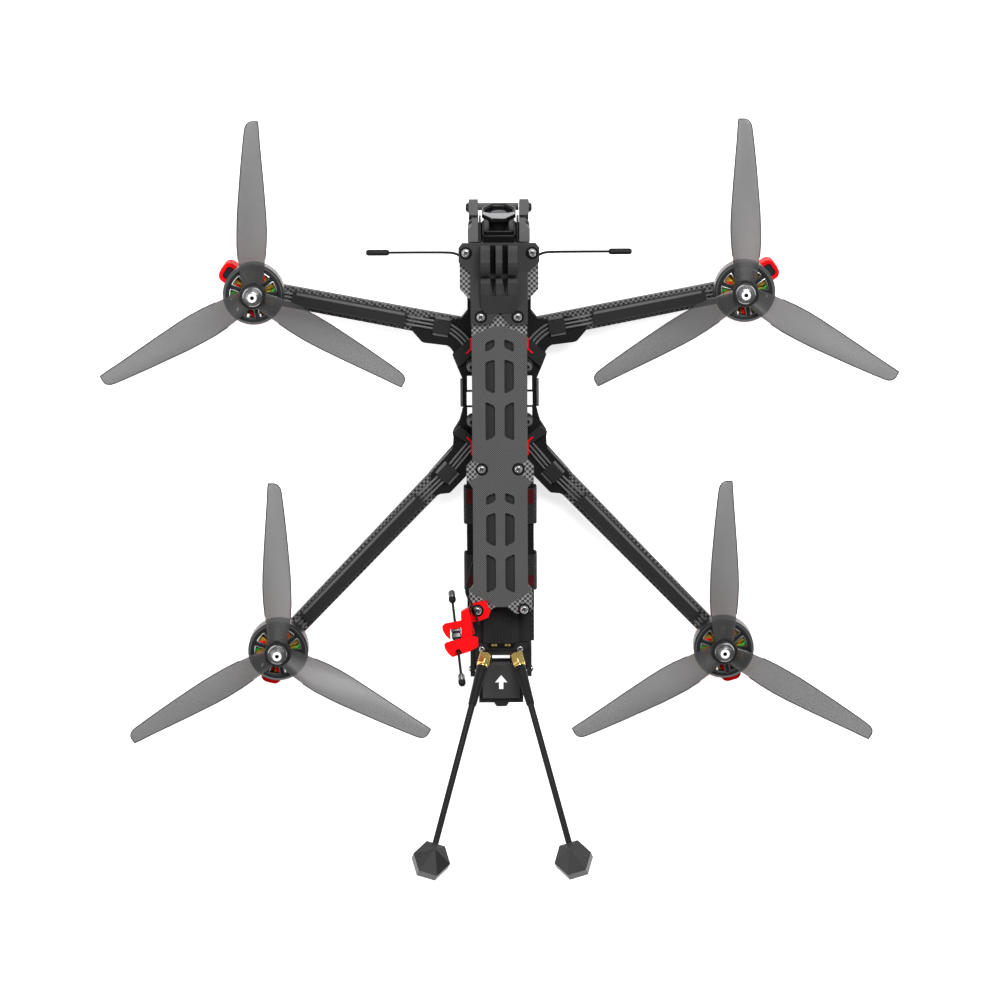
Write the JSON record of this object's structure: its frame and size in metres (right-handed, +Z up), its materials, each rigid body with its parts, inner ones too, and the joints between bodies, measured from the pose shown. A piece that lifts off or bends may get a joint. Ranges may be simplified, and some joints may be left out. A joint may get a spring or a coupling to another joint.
{
  "type": "fpv racing drone",
  "caption": "Long-range FPV quadcopter on four feet: carbon plates and arms, spinning three-blade propellers, tilting nose camera, action-camera mount and raised rear antennas.",
  "frame": {"origin": "on the floor that the four feet stand on, under the middle of the outline", "axes": "+Z up, +Y towards the nose and its camera, +X to the drone's right"},
  "size_m": [0.4376, 0.404, 0.1316],
  "materials": {
    "carbon_fibre": "2x2 twill carbon fibre laminate, satin",
    "matt_black_plate": "matt black coated plate",
    "black_tpu": "printed flexible plastic, fine layer lines",
    "red_tpu": "printed flexible plastic, bright red",
    "black_silicone": "silicone wire jacket",
    "copper_winding": "enamelled copper windings on a laminated core",
    "anodised_bell": "dark anodised aluminium with bright machined edges",
    "smoke_polycarbonate": "translucent smoke-grey polycarbonate",
    "steel": "bright zinc-plated steel",
    "anodised_standoff": "black anodised aluminium",
    "camera_body": "black moulded camera case",
    "circuit_board": "black solder mask with components",
    "module_case": "dark grey moulded case",
    "strap_webbing": "woven webbing with a red grip print",
    "moulded_nylon": "black moulded nylon",
    "antenna_plastic": "black moulded antenna jacket",
    "brass": "gold-plated connector",
    "bright_edge": "bright machined aluminium",
    "lens_glass": "coated lens",
    "white_print": "printed white mark"
  },
  "bodies": {
    "airframe": {"bottom_plate": "carbon_fibre", "top_plate": "carbon_fibre", "arm_front_left": "carbon_fibre", "arm_front_right": "carbon_fibre", "arm_rear_left": "carbon_fibre", "arm_rear_right": "carbon_fibre", "mid_plate": "matt_black_plate", "arm_cover_front_left": "black_tpu", "motor_leads_front_left": "black_silicone", "motor_foot_front_left": "red_tpu", "motor_stator_front_left": "copper_winding", "arm_cover_front_right": "black_tpu", "motor_leads_front_right": "black_silicone", "motor_foot_front_right": "red_tpu", "motor_stator_front_right": "copper_winding", "arm_cover_rear_left": "black_tpu", "motor_leads_rear_left": "black_silicone", "motor_foot_rear_left": "red_tpu", "motor_stator_rear_left": "copper_winding", "arm_cover_rear_right": "black_tpu", "motor_leads_rear_right": "black_silicone", "motor_foot_rear_right": "red_tpu", "motor_stator_rear_right": "copper_winding", "standoff_1_left": "anodised_standoff", "standoff_1_right": "anodised_standoff", "standoff_2_left": "anodised_standoff", "standoff_2_right": "anodised_standoff", "standoff_3_left": "anodised_standoff", "standoff_3_right": "anodised_standoff", "standoff_4_left": "anodised_standoff", "standoff_4_right": "anodised_standoff", "cage_left": "black_tpu", "cage_right": "black_tpu", "action_camera_mount": "black_tpu", "nose_antenna": "black_silicone", "speed_controller": "circuit_board", "flight_controller": "circuit_board", "video_transmitter": "module_case", "battery_strap_front": "strap_webbing", "battery_strap_rear": "strap_webbing", "tail_mount": "moulded_nylon", "gps_module": "module_case", "video_antenna_left": "antenna_plastic", "video_antenna_right": "antenna_plastic", "antenna_holder": "red_tpu", "receiver_antenna": "black_silicone", "receiver_lead": "black_silicone"},
    "rotor_front_left": {"motor_bell_front_left": "anodised_bell", "propeller_front_left": "smoke_polycarbonate", "prop_nut_front_left": "steel"},
    "rotor_front_right": {"motor_bell_front_right": "anodised_bell", "propeller_front_right": "smoke_polycarbonate", "prop_nut_front_right": "steel"},
    "rotor_rear_left": {"motor_bell_rear_left": "anodised_bell", "propeller_rear_left": "smoke_polycarbonate", "prop_nut_rear_left": "steel"},
    "rotor_rear_right": {"motor_bell_rear_right": "anodised_bell", "propeller_rear_right": "smoke_polycarbonate", "prop_nut_rear_right": "steel"},
    "camera": {"fpv_camera": "camera_body"}
  },
  "joints": [
    {"name": "front_left_rotor_spin", "type": "hinge", "parent": "airframe", "child": "rotor_front_left", "pos_m": [-0.1344, 0.1064, 0.045], "axis": [0, 0, 1], "continuous": true},
    {"name": "front_right_rotor_spin", "type": "hinge", "parent": "airframe", "child": "rotor_front_right", "pos_m": [0.1344, 0.1064, 0.045], "axis": [0, 0, 1], "continuous": true},
    {"name": "rear_left_rotor_spin", "type": "hinge", "parent": "airframe", "child": "rotor_rear_left", "pos_m": [-0.1237, -0.0932, 0.045], "axis": [0, 0, 1], "continuous": true},
    {"name": "rear_right_rotor_spin", "type": "hinge", "parent": "airframe", "child": "rotor_rear_right", "pos_m": [0.1237, -0.0932, 0.045], "axis": [0, 0, 1], "continuous": true},
    {"name": "camera_tilt", "type": "hinge", "parent": "airframe", "child": "camera", "pos_m": [0, 0.139, 0.037], "axis": [1, 0, 0], "range_deg": [-20, 25]}
  ]
}
